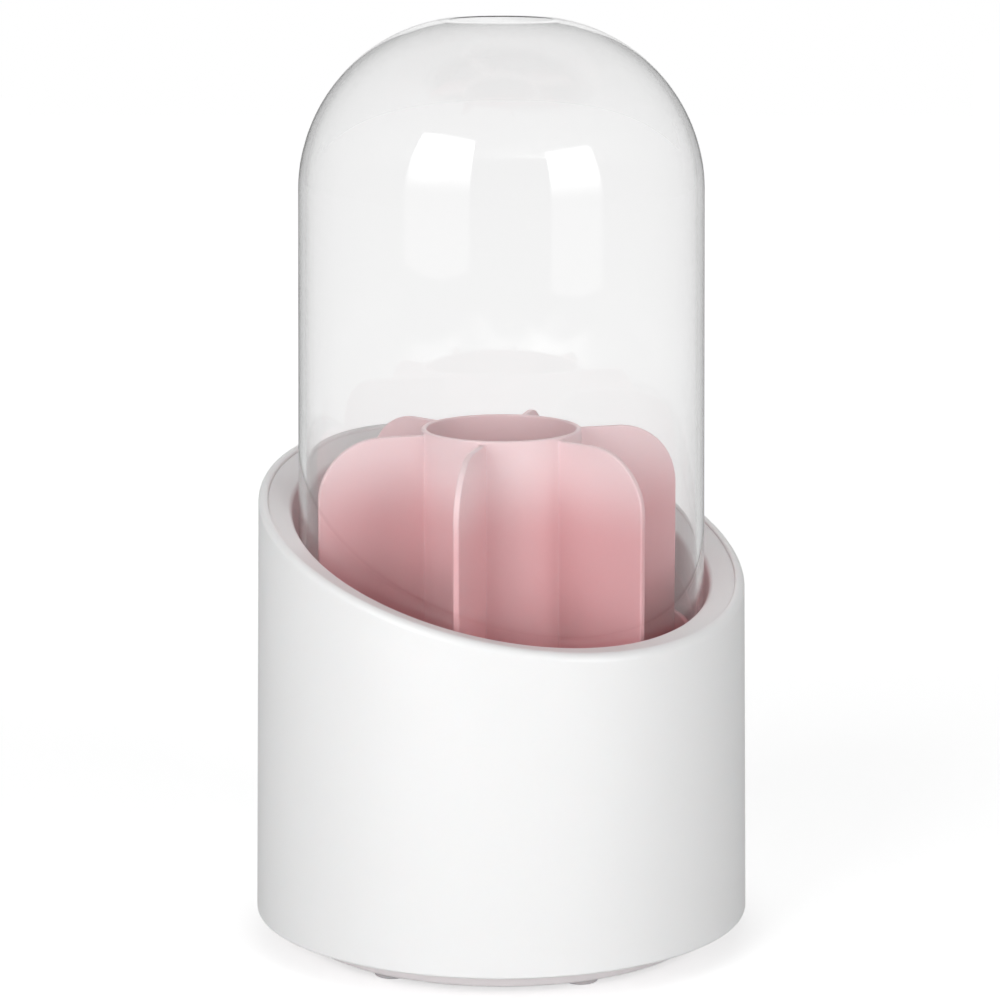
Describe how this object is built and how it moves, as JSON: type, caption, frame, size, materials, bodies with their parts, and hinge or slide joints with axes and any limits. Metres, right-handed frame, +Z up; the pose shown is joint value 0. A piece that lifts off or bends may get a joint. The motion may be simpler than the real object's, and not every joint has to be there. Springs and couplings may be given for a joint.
{
  "type": "rotating makeup organizer",
  "caption": "Round white drum with a slanted mouth on a ball-race turntable, holding a pink divider tray with a middle tube under a clear lift-off dome.",
  "frame": {"origin": "centre of the surface that the organizer stands on, under the turning axis", "axes": "+Z up along the turning axis; the slanted mouth of the drum is lowest towards -Y and highest towards +Y"},
  "size_m": [0.14, 0.14, 0.2594],
  "materials": {
    "white_shell": "moulded ABS, soft gloss white",
    "white_liner": "moulded ABS, soft gloss white",
    "grey_base": "moulded polypropylene, satin off-white",
    "cage_nylon": "moulded nylon, natural",
    "steel": "zinc-plated or polished steel",
    "pink_tray": "moulded ABS, soft gloss pale pink",
    "clear_dome": "clear moulded polystyrene",
    "pad_rubber": "translucent off-white rubber"
  },
  "bodies": {
    "turntable": {"turntable_disc": "grey_base", "pivot_screw": "steel", "pivot_washer": "steel", "foot_pad_1": "pad_rubber", "foot_pad_2": "pad_rubber", "foot_pad_3": "pad_rubber", "foot_pad_4": "pad_rubber", "foot_pad_5": "pad_rubber", "foot_pad_6": "pad_rubber"},
    "ball_ring": {"ball_cage": "cage_nylon", "ball_01": "steel", "ball_02": "steel", "ball_03": "steel", "ball_04": "steel", "ball_05": "steel", "ball_06": "steel", "ball_07": "steel", "ball_08": "steel", "ball_09": "steel", "ball_10": "steel", "ball_11": "steel", "ball_12": "steel"},
    "casing": {"outer_shell": "white_shell", "inner_liner": "white_liner", "base_cover": "grey_base", "case_screws": "steel"},
    "tray": {"tray_base": "pink_tray", "tray_tube": "pink_tray", "tray_fin_1": "pink_tray", "tray_fin_2": "pink_tray", "tray_fin_3": "pink_tray", "tray_fin_4": "pink_tray", "tray_fin_5": "pink_tray", "tray_fin_6": "pink_tray"},
    "dome": {"dome_cover": "clear_dome"}
  },
  "joints": [
    {"name": "casing_spin", "type": "hinge", "parent": "turntable", "child": "casing", "pos_m": [0, 0, 0.008], "axis": [0, 0, 1], "continuous": true},
    {"name": "cage_orbit", "type": "hinge", "parent": "turntable", "child": "ball_ring", "pos_m": [0, 0, 0.00625], "axis": [0, 0, 1], "continuous": true},
    {"name": "tray_lift", "type": "slide", "parent": "casing", "child": "tray", "axis": [0, 0, 1], "range_m": [0, 0.1]},
    {"name": "dome_lift", "type": "slide", "parent": "tray", "child": "dome", "axis": [0, 0, 1], "range_m": [0, 0.11]}
  ],
  "couplings": [
    {"joint": "cage_orbit", "follows": "casing_spin", "ratio": 0.5}
  ]
}
